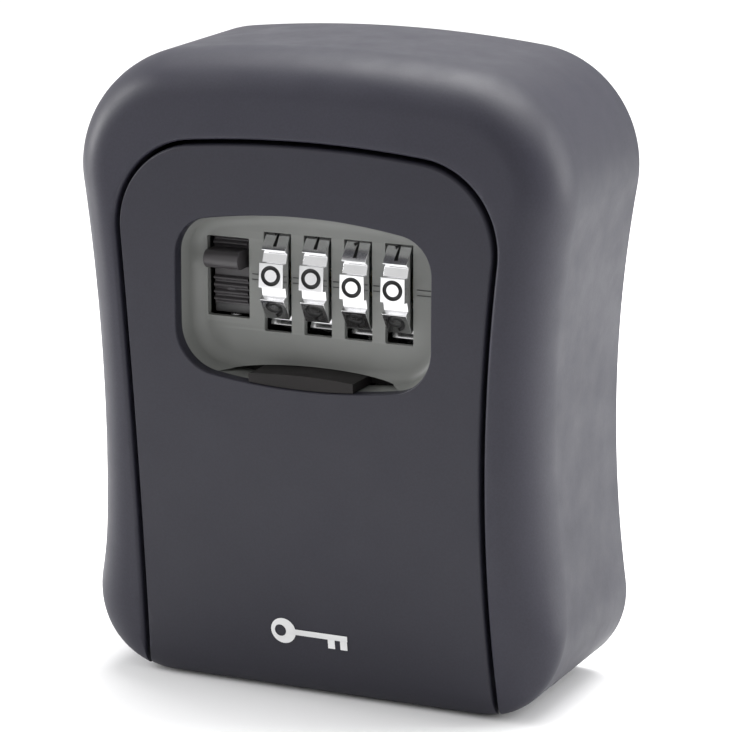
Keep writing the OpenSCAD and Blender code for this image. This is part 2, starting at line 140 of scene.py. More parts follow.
def window(inset=0.0):
    """Rounded window with a slightly arched top and bottom, brought in by inset."""
    w = WINDOW
    top_z, low_z = w["high"] - w["bulge"], w["low"] + w["bulge"]
    tx, lx = w["half"] - w["r_top"], w["half"] - w["r_low"]
    tz = top_z + math.sqrt((w["bulge"] - w["r_top"]) ** 2 - tx ** 2)
    lz = low_z - math.sqrt((w["bulge"] - w["r_low"]) ** 2 - lx ** 2)
    a_top = math.degrees(math.atan2(tz - top_z, tx))
    a_low = math.degrees(math.atan2(lz - low_z, lx))
    pts = arc(0, top_z, w["bulge"] - inset, 90, a_top, 14)
    pts += arc(tx, tz, w["r_top"] - inset, a_top, 0, 16, True)
    (x0, z0), (x1, z1) = pts[-1], (lx + w["r_low"] - inset, lz)
    pts += [(x0 + (x1 - x0) * k / 8, z0 + (z1 - z0) * k / 8) for k in range(1, 9)]
    pts += arc(lx, lz, w["r_low"] - inset, 0, a_low, 16, True)
    pts += arc(0, low_z, w["bulge"] - inset, a_low, -90, 14, True)
    return both_sides(pts)


# ---- mesh helpers ----
def new_object(name, bm):
    bmesh.ops.recalc_face_normals(bm, faces=bm.faces)
    mesh = bpy.data.meshes.new(name)
    bm.to_mesh(mesh)
    bm.free()
    obj = bpy.data.objects.new(name, mesh)
    bpy.context.scene.collection.objects.link(obj)
    return obj


def ladder_cap(bm, row):
    """Fills a ring that both_sides made with strips across it, which stay flat on a bowed front."""
    count = len(row)
    low = 1
    bm.faces.new((row[0], row[1], row[-1]))
    while low + 1 < count - low - 1:
        bm.faces.new((row[low], row[low + 1], row[count - low - 1], row[count - low]))
        low += 1
    if low + 1 == count - low - 1:
        bm.faces.new((row[low], row[low + 1], row[count - low]))


def loft(name, rings, ladder=True):
    """A closed solid through rings of equal length. A ring is a list of row frame points."""
    bm = bmesh.new()
    rows = [[bm.verts.new(p) for p in ring] for ring in rings]
    count = len(rows[0])
    for a, b in zip(rows, rows[1:]):
        for k in range(count):
            bm.faces.new((a[k], a[(k + 1) % count], b[(k + 1) % count], b[k]))
    for row in (rows[0], rows[-1]):
        if ladder:
            ladder_cap(bm, row)
        else:
            bm.faces.new(row)
    return new_object(name, bm)


def ring(outline, depth):
    """Lifts an outline to a depth, a number or a function of (x, z)."""
    return [place(x, depth(x, z) if callable(depth) else depth, z) for x, z in outline]


def box_mesh(name, x0, x1, d0, d1, z0, z1):
    corners = ((x0, z0), (x1, z0), (x1, z1), (x0, z1))
    return loft(name, [[place(x, d, z) for x, z in corners] for d in (d0, d1)], ladder=False)


def rod(name, start, end, radii, sides=48):
    """A turned bar from start to end. radii is a list of (share of the length, radius)."""
    a, b = place(*start), place(*end)
    axis = b - a
    side = axis.orthogonal().normalized()
    other = axis.normalized().cross(side)
    rings = []
    for share, radius in radii:
        middle = a + axis * share
        turns = [2 * math.pi * k / sides for k in range(sides)]
        rings.append([middle + (side * math.cos(t) + other * math.sin(t)) * radius * MM for t in turns])
    return loft(name, rings, ladder=False)


def boolean(obj, tools, operation="DIFFERENCE", self_cuts=False):
    """Applies each tool to obj and deletes it."""
    for tool in tools:
        mod = obj.modifiers.new("cut", "BOOLEAN")
        mod.object, mod.operation, mod.solver = tool, operation, "EXACT"
        mod.use_self = self_cuts
        mod.material_mode = "TRANSFER"
        settle(obj)
        bpy.data.objects.remove(tool)
    return obj


def settle(obj):
    """Bakes an object's modifiers into its mesh."""
    graph = bpy.context.evaluated_depsgraph_get()
    mesh = bpy.data.meshes.new_from_object(obj.evaluated_get(graph))
    obj.modifiers.clear()
    obj.data = mesh
    return obj


def bevel(obj, width, segments=3, angle=35):
    mod = obj.modifiers.new("bevel", "BEVEL")
    mod.width, mod.segments = width * MM, segments
    mod.limit_method, mod.angle_limit = "ANGLE", math.radians(angle)
    mod.harden_normals = False
    return obj


def smooth(obj, angle=32):
    """Smooth shading that keeps hard corners, with each normal weighted by face area."""
    settle(obj)
    for p in obj.data.polygons:
        p.use_smooth = True
    limit = math.radians(angle)
    bm = bmesh.new()
    bm.from_mesh(obj.data)
    for e in bm.edges:
        e.smooth = len(e.link_faces) == 2 and e.calc_face_angle(0) < limit
    bm.to_mesh(obj.data)
    bm.free()
    mod = obj.modifiers.new("normals", "WEIGHTED_NORMAL")
    mod.keep_sharp = True
    mod.weight = 80
    return obj


def one_material(obj, material):
    obj.data.materials.clear()
    obj.data.materials.append(material)
    for face in obj.data.polygons:
        face.material_index = 0


def finish_piece(obj, material, body, slot, *nodes):
    if material is not None:
        one_material(obj, material)
    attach(obj, body)
    if nodes:
        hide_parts(*nodes)
    return obj


# ---- materials ----
class Nodes:
    """A short way to write node materials."""

    def __init__(self, name):
        self.mat = bpy.data.materials.new(name)
        self.mat.use_nodes = True
        self.tree = self.mat.node_tree
        self.shader = self.tree.nodes["Principled BSDF"]
        self.coords = self.tree.nodes.new("ShaderNodeTexCoord").outputs["Object"]

    def link(self, a, b):
        self.tree.links.new(a, b)

    def noise(self, scale, detail=4.0, rough=0.55, stretch=None):
        node = self.tree.nodes.new("ShaderNodeTexNoise")
        node.inputs["Scale"].default_value = scale
        node.inputs["Detail"].default_value = detail
        node.inputs["Roughness"].default_value = rough
        source = self.coords
        if stretch:
            mapping = self.tree.nodes.new("ShaderNodeMapping")
            mapping.inputs["Scale"].default_value = stretch
            self.link(self.coords, mapping.inputs["Vector"])
            source = mapping.outputs["Vector"]
        self.link(source, node.inputs["Vector"])
        return node.outputs["Fac"]

    def spread(self, fac, low, high, a=0.3, b=0.7):
        """Maps a value between a and b to one between low and high."""
        node = self.tree.nodes.new("ShaderNodeMapRange")
        for key, value in (("From Min", a), ("From Max", b), ("To Min", low), ("To Max", high)):
            node.inputs[key].default_value = value
        self.link(fac, node.inputs["Value"])
        return node.outputs["Result"]

    def colours(self, fac, stops):
        node = self.tree.nodes.new("ShaderNodeValToRGB")
        ramp = node.color_ramp
        while len(ramp.elements) < len(stops):
            ramp.elements.new(0.5)
        for element, (at, colour) in zip(ramp.elements, stops):
            element.position, element.color = at, (*colour, 1)
        self.link(fac, node.inputs["Fac"])
        return node.outputs["Color"]

    def mix(self, fac, a, b):
        node = self.tree.nodes.new("ShaderNodeMix")
        node.data_type = "RGBA"
        for key, value in (("Factor", fac), ("A", a), ("B", b)):
            kind = "VALUE" if key == "Factor" else "RGBA"
            target = [s for s in node.inputs if s.name == key and s.type == kind][0]
            if isinstance(value, (int, float)):
                target.default_value = value
            elif isinstance(value, tuple):
                target.default_value = (*value, 1)
            else:
                self.link(value, target)
        return [s for s in node.outputs if s.type == "RGBA"][0]

    def edges(self, low=0.52, high=0.6):
        """1 on convex edges, from the mesh's pointiness; used to paint a highlight along them."""
        geo = self.tree.nodes.new("ShaderNodeNewGeometry")
        return self.spread(geo.outputs["Pointiness"], 0.0, 1.0, low, high)

    def bump(self, height, strength, distance, after=None):
        node = self.tree.nodes.new("ShaderNodeBump")
        node.inputs["Strength"].default_value = strength
        node.inputs["Distance"].default_value = distance * MM
        self.link(height, node.inputs["Height"])
        if after is not None:
            self.link(after, node.inputs["Normal"])
        return node.outputs["Normal"]

    def done(self, colour, rough, normal=None, metallic=0.0, specular=0.5):
        s = self.shader.inputs
        self.link(colour, s["Base Color"])
        self.link(rough, s["Roughness"])
        s["Metallic"].default_value = metallic
        s["Specular IOR Level"].default_value = specular
        if normal is not None:
            self.link(normal, s["Normal"])
        return self.mat


def grey(v, tint=(1, 1, 1)):
    return tuple(v * t for t in tint)


COOL = (0.96, 0.93, 1.38)


def powder_coat(name, level, rough=(0.42, 0.52)):
    """Fine textured paint: an orange peel, a speckle and a painted highlight lightening the convex edges."""
    n = Nodes(name)
    speckle = n.noise(2600, 2, 0.5)
    patch = n.noise(38, 3)
    base = n.colours(patch, [(0.3, grey(level * 0.94, COOL)), (0.7, grey(level * 1.05, COOL))])
    fleck = n.colours(speckle, [(0.35, grey(level * 0.82, COOL)), (0.65, grey(level * 1.16, COOL))])
    colour = n.mix(0.45, base, fleck)
    # painted highlight: convex edges found by pointiness are lightened towards twice the coat's level
    colour = n.mix(n.spread(n.edges(), 0.0, 0.22, 0, 1), colour, grey(level * 2.0, COOL))
    peel = n.bump(n.noise(900, 3), 0.16, 0.05)
    grain = n.bump(speckle, 0.22, 0.03, peel)
    return n.done(colour, n.spread(n.noise(120, 3), *rough), grain, specular=0.32)


def moulded(name, colour_low, colour_high, rough, grain=0.12, specular=0.45):
    """Moulded plastic with a fine spark-eroded grain, soft colour drift and a painted highlight on convex
    edges.
    """
    n = Nodes(name)
    tone = n.colours(n.noise(55, 3), [(0.3, colour_low), (0.7, colour_high)])
    # painted highlight: convex edges found by pointiness are lightened towards 1.7 times the light tone
    tone = n.mix(n.spread(n.edges(), 0.0, 0.18, 0, 1), tone, tuple(min(1, c * 1.7) for c in colour_high))
    skin = n.bump(n.noise(1500, 3), grain, 0.03)
    return n.done(tone, n.spread(n.noise(160, 4), *rough), skin, specular=specular)


def polished(name, level, rough, tint=(1, 1, 1.01), scratch=0.05):
    """Plated metal with hair scratches along its turning direction."""
    n = Nodes(name)
    tone = n.colours(n.noise(220, 3), [(0.3, grey(level * 0.96, tint)), (0.7, grey(level * 1.02, tint))])
    lines = n.noise(700, 4, 0.6, stretch=(0.15, 3.0, 3.0))
    hair = n.bump(lines, scratch, 0.02)
    return n.done(tone, n.spread(n.noise(400, 3), *rough), hair, metallic=1.0)


def foam(name):
    n = Nodes(name)
    cells = n.noise(1800, 2)
    tone = n.colours(cells, [(0.35, grey(0.012)), (0.7, grey(0.035))])
    return n.done(tone, n.spread(n.noise(90, 2), 0.85, 0.95), n.bump(cells, 0.6, 0.15), specular=0.2)


MATS = {
    "casing": powder_coat("casing_coat", 0.024),
    "door": powder_coat("door_coat", 0.019),
    "panel": moulded("panel_plastic", (0.155, 0.160, 0.152), (0.178, 0.182, 0.174), (0.40, 0.50)),
    "black": moulded("black_plastic", grey(0.018), grey(0.026), (0.38, 0.5)),
    "pull": moulded("pull_plastic", (0.010, 0.009, 0.009), (0.014, 0.012, 0.012), (0.45, 0.55),
                    specular=0.2),
    "thumb": moulded("thumb_plastic", (0.040, 0.037, 0.040), (0.052, 0.048, 0.051), (0.28, 0.36)),
    "chrome": polished("dial_chrome", 0.86, (0.13, 0.2)),
    "steel": polished("zinc_steel", 0.58, (0.28, 0.4), (0.98, 1, 1.03), 0.18),
    "dark_steel": polished("blackened_steel", 0.09, (0.4, 0.5)),
    "spring": polished("spring_steel", 0.62, (0.2, 0.3)),
    "brass": polished("sleeve_brass", 0.62, (0.22, 0.32), (1.1, 0.86, 0.45)),
    "mark_line": moulded("index_line", grey(0.035), grey(0.05), (0.4, 0.5), 0.05),
    "ink": moulded("digit_ink", grey(0.006), grey(0.010), (0.35, 0.45), 0.05),
    "mark": moulded("printed_mark", grey(0.62), grey(0.70), (0.5, 0.6), 0.05),
    "lever": moulded("lever_plastic", (0.30, 0.020, 0.014), (0.36, 0.030, 0.020), (0.3, 0.4)),
    "foam": foam("liner_foam"),
}


# ---- casing ----
EDGE_IN, EDGE_DEEP, FOOT_DEEP, FOOT_REACH = 8.0, 11.6, 3.0, 29.0
BACK_ROLL = 0.9
BACK_EDGE = ((0.8, 0.0), (0.3, 0.1), (0.05, 0.4), (0.0, BACK_ROLL))
BOSS_X, BOSS_DEPTH, PIN_START, PIN_SEAT_R = (36.0, 44.5), (26.5, 34.0), 33, 1.52
BOLT_HOLE = ((0, BOLT_R), (0.58, BOLT_R), (0.68, BOLT_R + 0.5), (1, BOLT_R + 2.5))


def ease(t):
    t = min(1.0, max(0.0, t))
    return t * t * (3 - 2 * t)


def edge_depth(z):
    """Depth of the rounded front edge, which tightens towards the foot."""
    return FOOT_DEEP + (EDGE_DEEP - FOOT_DEEP) * ease(z / FOOT_REACH)


def case_outline(inset, trim):
    """The casing outline brought in by inset, less so along the foot."""
    points = shield(**CASE, inset=inset + trim)
    return [(x, z - 0.7 * inset * max(0.0, 1 - z / 26) ** 1.5) for x, z in points]


def side_depth(z, k):
    """Depth of the kth of five steps up the straight side."""
    return BACK_ROLL + (front(z) - edge_depth(z) - BACK_ROLL) * k / 5


def case_solid(name, trim=0.0):
    """The casing's outside as one closed solid, brought in by trim."""
    rings = [ring(shield(**CASE, inset=trim + i), d) for i, d in BACK_EDGE]
    for k in range(1, 5):
        rings.append(ring(case_outline(0, trim), lambda x, z, k=k: side_depth(z, k)))
    for k in range(13):
        a = math.radians(k * 7.5)
        rings.append(ring(case_outline(EDGE_IN * (1 - math.cos(a)), trim),
                          lambda x, z, a=a: front(z) - edge_depth(z) * (1 - math.sin(a)) - trim))
    for i in (8.8, 9.8, 11.2, 13.0):
        rings.append(ring(case_outline(i, trim), lambda x, z: front(z) - trim))
    return loft(name, rings)


def opening_cutter():
    """The door's opening, with its front edge rolled outwards."""
    rings = [ring(shield(**DOOR, inset=-DOOR_GAP), FLOOR_Y)]
    for out, below in ((0, 0.9), (0.05, 0.6), (0.18, 0.34), (0.42, 0.12), (0.8, -0.08), (2.2, -0.8)):
        rings.append(ring(shield(**DOOR, inset=-DOOR_GAP - out), lambda x, z, b=below: front(z) - b))
    return loft("opening", rings)


def build_case():
    case = case_solid("body_case_shell")
    cavity = loft("cavity", [ring(shield(**CASE, inset=WALL), WALL),
                             ring(shield(**CASE, inset=WALL), lambda x, z: front(z) - 12),
                             ring(shield(**CASE, inset=5.5), lambda x, z: front(z) - FRAME_T)])
    boolean(case, [cavity])
    bosses = []
    for side in (-1, 1):
        x0, x1 = sorted((side * BOSS_X[0], side * BOSS_X[1]))
        boss = box_mesh("boss", x0, x1, *BOSS_DEPTH, -1.0, BOSS_TOP)
        bosses.append(boolean(bevel(boss, 0.6), [case_solid("skin", 0.5)], "INTERSECT"))
    boolean(case, bosses, "UNION")
    cuts = [opening_cutter(), box_mesh("floor", -34, 34, FLOOR_Y, 50, -2, WALL)]
    for x in (-BOLT_DX / 2, BOLT_DX / 2):
        for z in (ORIGIN_H - BOLT_DZ / 2, ORIGIN_H + BOLT_DZ / 2):
            cuts.append(rod("bolt", (x, -1, z), (x, 5, z), BOLT_HOLE))
    for side in (-1, 1):
        start, end = (side * PIN_START, HINGE_Y, HINGE_Z), (side * PIN_END, HINGE_Y, HINGE_Z)
        cuts.append(rod("pin_hole", start, end, ((0, PIN_SEAT_R), (1, PIN_SEAT_R))))
    boolean(case, cuts)
    smooth(case)
    return finish_piece(case, MATS["casing"], "case", "casing", "body_case")


# ---- door ----
LUG_X, LUG_R, LUG_EASE = (27.0, 34.4), 3.4, 3.1


def door_solid(name, inset, back, top_drop):
    """The door's plate: a bowed front with rolled edges."""
    rings = [ring(shield(**DOOR, inset=inset + 0.3), back), ring(shield(**DOOR, inset=inset), back + 0.5)]
    for k in (1, 2, 3):
        rings.append(ring(shield(**DOOR, inset=inset),
                          lambda x, z, k=k: back + 0.5 + (front(z) - back - 1.6) * k / 3))
    for k in range(9):
        a = math.radians(k * 11.25)
        i, e = 0.9 * (1 - math.cos(a)), 0.9 * (1 - math.sin(a))
        rings.append(ring(shield(**DOOR, inset=inset + i), lambda x, z, e=e: front(z) - top_drop - e))
    for i in (1.6, 2.6, 4.0, 6.0, 8.5, 11.0, 13.5):
        rings.append(ring(shield(**DOOR, inset=inset + i), lambda x, z: front(z) - top_drop))
    return loft(name, rings)


def window_cutter():
    rings = [ring(window(), 30.0)]
    for out, below in ((0, 0.6), (0.04, 0.38), (0.14, 0.2), (0.32, 0.06), (0.55, -0.06), (1.6, -0.6)):
        rings.append(ring(window(-out), lambda x, z, b=below: front(z) - b))
    return loft("window_cut", rings)


def build_door():
    door = door_solid("door_shell", 0.0, RIM_BACK, 0.0)
    inner = shield(**DOOR, inset=2.2)
    hollow = loft("hollow", [ring(inner, RIM_BACK - 2), ring(inner, lambda x, z: front(z) - DOOR_T)])
    boolean(hollow, [box_mesh("sill", -60, 60, 20, 50, -10, 2.6)])
    boolean(door, [hollow, window_cutter()])
    boolean(door, [case_solid("skin", 0.12)], "INTERSECT")
    lugs = []
    for side in (-1, 1):
        start, end = (side * LUG_X[0], HINGE_Y, HINGE_Z), (side * LUG_X[1], HINGE_Y, HINGE_Z)
        lug = rod("lug", start, end, ((0, LUG_EASE), (0.04, LUG_R), (0.96, LUG_R), (1, LUG_EASE)))
        x0, x1 = sorted((side * LUG_X[0], side * LUG_X[1]))
        web = box_mesh("web", x0, x1, HINGE_Y, 35.5, HINGE_Z - LUG_R, HINGE_Z + LUG_R)
        lugs.append(boolean(lug, [web], "UNION"))
    for x, z in BOX_POSTS:
        start, end = (x, RIM_BACK + 0.05, z), (x, front(z) - DOOR_T + 0.3, z)
        lugs.append(rod("post", start, end, ((0, 2.2), (0.04, 2.4), (1, 2.6))))
    boolean(door, lugs, "UNION")
    bores = []
    for side in (-1, 1):
        start, end = (side * 26, HINGE_Y, HINGE_Z), (side * 36, HINGE_Y, HINGE_Z)
        bores.append(rod("bore", start, end, ((0, PIN_R), (1, PIN_R))))
    boolean(door, bores)
    smooth(door)
    return finish_piece(door, MATS["door"], "door", "door_paint", "door_cover")


# ---- dial panel ----
DISH_R, DISH_DRAFT, DIAL_ROOM = 2.6, 0.5, 11.5


def dish_cutter():
    """The recess in front of the panel: drafted walls that sweep into the floor."""
    rings = [ring(window(-0.12), lambda x, z: front(z) + 1)]
    rings.append(ring(window(-0.08), lambda x, z: front(z) - DOOR_T))
    rings.append(ring(window(DISH_DRAFT), PANEL_Y + DISH_R))
    for k in range(1, 9):
        a = math.radians(k * 11.25)
        inset = DISH_DRAFT + DISH_R * (1 - math.cos(a))
        rings.append(ring(window(inset), PANEL_Y + DISH_R * (1 - math.sin(a))))
    return loft("dish", rings)


def pocket(inset=0.0):
    """The lens shaped pocket above the window's lower edge."""
    reach = math.degrees(math.acos(POCKET_HALF / WINDOW["bulge"]))
    pts = arc(0, POCKET_TOP - WINDOW["bulge"], WINDOW["bulge"] - inset, 90, reach, 20)
    return both_sides(pts + [(POCKET_HALF - inset, WINDOW["low"] - 3)])


def panel_slot(x, z, width, height):
    """A cutter with softened edges for a slot in the panel's floor."""
    slot = box_mesh("slot", x - width / 2, x + width / 2, 30, 50, z - height / 2, z + height / 2)
    return settle(bevel(slot, 0.25, 3))


def build_panel():
    back = PANEL_Y - PANEL_T
    rings = [ring(window(-1.2), back), ring(window(-1.2), lambda x, z: front(z) - DOOR_T - 1.2)]
    for below in (1.2, 0.05):
        rings.append(ring(window(-2.4), lambda x, z, b=below: front(z) - DOOR_T - b))
    panel = loft("lock_panel_shell", rings)
    lens = loft("lens", [ring(pocket(), PANEL_Y - 3), ring(pocket(), 50.0)])
    boolean(lens, [loft("limit", [ring(window(-0.1), 20.0), ring(window(-0.1), 60.0)])], "INTERSECT")
    cuts = [dish_cutter(), lens]
    for x in DIAL_X:
        cuts.append(panel_slot(x, DIAL_Z - 1, SLOT_W, SLOT_H))
        start, end = (x - SLOT_W / 2, DIAL_Y, DIAL_Z), (x + SLOT_W / 2, DIAL_Y, DIAL_Z)
        cuts.append(rod("room", start, end, ((0, DIAL_ROOM), (1, DIAL_ROOM)), 96))
    cuts.append(panel_slot(GATE_X, GATE_Z, GATE_W, GATE_H))
    for x, z in BOX_POSTS:
        cuts.append(rod("post", (x, 30, z), (x, 50, z), ((0, 2.7), (1, 2.7))))
    boolean(panel, cuts)
    one_material(panel, MATS["panel"])
    marks = []
    for z in (DIAL_Z - 0.75, DIAL_Z + 0.25):
        for x0, x1 in MARK_SPANS:
            mark = box_mesh("mark", x0, x1, PANEL_Y - 0.14, PANEL_Y + 1, z - 0.11, z + 0.11)
            mark.data.materials.append(MATS["mark_line"])
            marks.append(mark)
    boolean(panel, marks)
    smooth(panel)
    return finish_piece(panel, None, "door", "panel_grey", "lock_panel")


def build_pull():
    """The finger pull in the pocket, with a soft front edge."""
    half = PULL_W / 2
    block = loft("block", [ring(pocket(0.12), PANEL_Y - PANEL_T - 0.4), ring(pocket(0.12), 50.0)])
    limit = loft("limit", [ring(window(0.12), 20.0), ring(window(0.12), 60.0)])
    span = box_mesh("span", PULL_X - half, PULL_X + half, 20, 60, 50, 70)
    skin = door_solid("skin", 0.0, 20.0, 0.5)
    boolean(block, [limit, span, skin], "INTERSECT")
    settle(bevel(block, 0.45, 4))
    bar = loft("bar", [ring(window(-0.6), d) for d in (PANEL_Y - PANEL_T - 0.82, PANEL_Y - PANEL_T - 0.06)])
    boolean(bar, [box_mesh("span", -22, 22, 20, 60, WINDOW["low"] + 0.7, WINDOW["low"] + 5.5)], "INTERSECT")
    boolean(block, [bar], "UNION")
    block.name = "finger_pull_block"
    smooth(block)
    return finish_piece(block, MATS["pull"], "door", "black_plastic", "finger_pull")


# ---- dials ----
def stroke(name, points, closed, radius, to_frame):
    """A round cutter that follows a digit's stroke. to_frame turns its (right, up) into a point."""
    curve = bpy.data.curves.new(name, "CURVE")
    curve.dimensions = "3D"
    curve.bevel_depth = radius * MM
    curve.bevel_resolution = 3
    curve.use_fill_caps = True
    spline = curve.splines.new("POLY")
    spline.points.add(len(points) - 1)
    spline.use_cyclic_u = closed
    for target, (u, v) in zip(spline.points, points):
        target.co = (*to_frame(u, v), 1)
    obj = bpy.data.objects.new(name, curve)
    bpy.context.scene.collection.objects.link(obj)
    mesh = bpy.data.meshes.new_from_object(obj.evaluated_get(bpy.context.evaluated_depsgraph_get()))
    bpy.data.objects.remove(obj)
    bm = bmesh.new()
    bm.from_mesh(mesh)
    bmesh.ops.remove_doubles(bm, verts=bm.verts, dist=1e-7)
    return new_object(name, bm)


def bowl(cu, cv, ru, rv, a0=0, a1=360, n=28):
    whole = a1 - a0 == 360
    angles = [math.radians(a0 + (a1 - a0) * k / n) for k in range(n if whole else n + 1)]
    return [(cu + ru * math.cos(a), cv + rv * math.sin(a)) for a in angles], whole


def bar(*points):
    return list(points), False


DIGITS = (
    [bowl(0, 0, 1.58, 1.5)],
    [bar((-0.7, 1.0), (0.05, 1.5), (0.05, -1.5))],
    [(bowl(0, 0.55, 1.05, 0.95, 165, -35)[0] + [(-1.05, -1.45), (1.15, -1.45)], False)],
    [bowl(0, 0.75, 0.95, 0.75, 150, -80), bowl(0, -0.7, 1.1, 0.8, 80, -150)],
    [bar((0.55, -1.5), (0.55, 1.5)), bar((0.5, 1.45), (-1.2, -0.65), (1.25, -0.65))],
    [bar((1.0, 1.45), (-0.8, 1.45)), bar((-0.75, 1.4), (-0.88, 0.2)), bowl(0, -0.5, 1.15, 0.98, 140, -150)],
    [bowl(0, -0.55, 1.3, 0.95), bowl(0.55, -0.35, 1.85, 1.85, 172, 105)],
    [bar((-1.15, 1.45), (1.15, 1.45), (-0.3, -1.5))],
    [bowl(0, 0.8, 0.95, 0.7), bowl(0, -0.7, 1.2, 0.82)],
    [bowl(0, 0.55, 1.3, 0.95), bowl(-0.55, 0.35, 1.85, 1.85, -8, -75)],
)


def dial_mesh():
    """One dial about the X axis through the origin, its digit 0 to the front."""
    reach = DIAL_FLAT / math.cos(math.radians(LAND_HALF))
    bm = bmesh.new()
    profile = []
    for n in range(10):
        for radius, angle in ((reach, -LAND_HALF), (reach, LAND_HALF),
                              (reach - GROOVE, LAND_HALF + 0.7), (reach - GROOVE, 36 - LAND_HALF - 0.7)):
            a = math.radians(n * 36 + angle)
            profile.append((-radius * math.cos(a), radius * math.sin(a)))
    rows = [[bm.verts.new(Vector((x, y, z)) * MM) for y, z in profile] for x in (-DIAL_W / 2, DIAL_W / 2)]
    for k in range(len(profile)):
        j = (k + 1) % len(profile)
        bm.faces.new((rows[0][k], rows[0][j], rows[1][j], rows[1][k]))
    bm.faces.new(rows[0])
    bm.faces.new(rows[1])
    dial = new_object("dial_turning", bm)
    settle(bevel(dial, 0.16, 3, 15))
    tools = []
    side = DIAL_W / 2
    for x0, x1, radius in ((-10, 10, 1.66), (-side - 1, -side + 0.4, 8.2), (side - 0.4, side + 1, 8.2)):
        tools.append(rod("bore", (x0, 0, ORIGIN_H), (x1, 0, ORIGIN_H), ((0, radius), (1, radius)), 64))
    boolean(dial, tools)
    one_material(dial, MATS["chrome"])
    cutters = []
    for n, strokes in enumerate(DIGITS):
        a = math.radians(n * 36)
        out = Vector((0, -math.cos(a), math.sin(a)))
        up = Vector((0, math.sin(a), math.cos(a)))
        for points, closed in strokes:
            cutter = stroke("digit", points, closed, STROKE_R,
                            lambda u, v: (Vector((u, 0, 0)) + up * v + out * (DIAL_FLAT + 0.02)) * MM)
            cutter.data.materials.append(MATS["ink"])
            cutters.append(cutter)
    boolean(dial, cutters, self_cuts=True)
    smooth(dial, 28)
    return dial


def build_dials():
    first = dial_mesh()
    for k, x in enumerate(DIAL_X):
        dial = first.copy()
        dial.data = first.data.copy()
        dial.name = f"dial_{k + 1}_turned"
        bpy.context.scene.collection.objects.link(dial)
        turn = Matrix.Rotation(-math.radians(DIAL_TURN[k]), 4, "X")
        dial.data.transform(Matrix.Translation(place(x, DIAL_Y, DIAL_Z)) @ turn)
        finish_piece(dial, None, f"wheel_{k + 1}", "chrome_dial", f"dial_{k + 1}")
    bpy.data.objects.remove(first)


# ---- slider ----
def slider_profile():
    """The slider's side view as (depth, height): a ribbed pad with a half-round thumb bar."""
    pts = [(PAD_BACK + 0.02, PAD_HIGH), (PAD_BACK + 0.02, PAD_LOW)]
    pts += [(PAD_VALLEY, PAD_LOW), (PAD_VALLEY, PAD_LOW + 0.5)]

    def ribs(start, stop):
        out = []
        z = start
        while z + RIB_STEP <= stop + 1e-6:
            for share in range(1, 9):
                t = share / 8
                swell = (PAD_CREST - PAD_VALLEY) * math.sin(math.pi * t) ** 0.7
                out.append((PAD_VALLEY + swell, z + RIB_STEP * t * 0.72))
            out.append((PAD_VALLEY, z + RIB_STEP))
            z += RIB_STEP
        return out

    pts += ribs(PAD_LOW + 0.5, THUMB_Z - THUMB_R - 0.6)
    low, high = THUMB_Z - THUMB_R, THUMB_Z + THUMB_R
    pts += [(PAD_VALLEY, low - 0.15), (PAD_VALLEY + 0.2, low)]
    for k in range(17):
        a = math.radians(-90 + 180 * k / 16)
        pts.append((THUMB_Y + THUMB_R * math.cos(a), THUMB_Z + THUMB_R * math.sin(a)))
    pts += [(PAD_VALLEY + 0.2, high), (PAD_VALLEY, high + 0.15)]
    pts += ribs(high + 0.3, PAD_HIGH - 0.3)
    pts.append((PAD_VALLEY, PAD_HIGH))
    return pts


def build_slider():
    half = THUMB_W / 2
    rows = [[place(x, d, z) for d, z in slider_profile()] for x in (SLIDE_X - half, SLIDE_X + half)]
    slider = loft("open_slider_thumb", rows, ladder=False)
    settle(bevel(slider, 0.12, 2, 50))
    holes = []
    for z in RIVET_Z:
        start, end = (SLIDE_X, 30, z), (SLIDE_X, PAD_BACK + 0.38, z)
        holes.append(rod("hole", start, end, ((0, 0.82), (1, 0.82)), 24))
    boolean(slider, holes)
    smooth(slider, 40)
    return finish_piece(slider, MATS["thumb"], "slider", "black_plastic", "open_slider")


def build_spring():
    """The slider's return spring, wound as a helix with closed ends."""
    low, high = SPRING_Z
    turns, per_turn = SPRING_TURNS, 28
    curve = bpy.data.curves.new("slider_spring_coil", "CURVE")
    curve.dimensions = "3D"
    curve.bevel_depth = SPRING_WIRE_R * MM
    curve.bevel_resolution = 4
    curve.use_fill_caps = True
    spline = curve.splines.new("POLY")
    total = (turns + 2) * per_turn
    spline.points.add(total)
    for k, point in enumerate(spline.points):
        turn = k / per_turn
        rise = min(1.0, max(0.0, (turn - 1) / turns))
        z = low + SPRING_WIRE_R + (high - low - 2 * SPRING_WIRE_R) * rise
        a = 2 * math.pi * turn
        point.co = (*place(SLIDE_X + SPRING_R * math.cos(a), SPRING_Y + SPRING_R * math.sin(a), z), 1)
    shape = bpy.data.objects.new("coil_curve", curve)
    bpy.context.scene.collection.objects.link(shape)
    mesh = bpy.data.meshes.new_from_object(shape.evaluated_get(bpy.context.evaluated_depsgraph_get()))
    bpy.data.objects.remove(shape)
    bm = bmesh.new()
    bm.from_mesh(mesh)
    bmesh.ops.remove_doubles(bm, verts=bm.verts, dist=1e-7)
    spring = new_object("slider_spring_coil", bm)
    for p in spring.data.polygons:
        p.use_smooth = True
    finish_piece(spring, MATS["spring"], "door", "steel", "slider_spring")
    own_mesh(spring)


# ---- door mark ----
def mark_disc(name, x, d0, d1, radius, sides):
    """A disc of the pictogram, from depth d0 to d1."""
    return rod(name, (x, d0, MARK_Z), (x, d1, MARK_Z), ((0, radius), (1, radius)), sides)


def front_slab(name, over):
    """A slab that ends over millimetres in front of the door's face."""
    outline = shield(**DOOR, inset=3)
    return loft(name, [ring(outline, 25.0), ring(outline, lambda x, z: front(z) + over)])


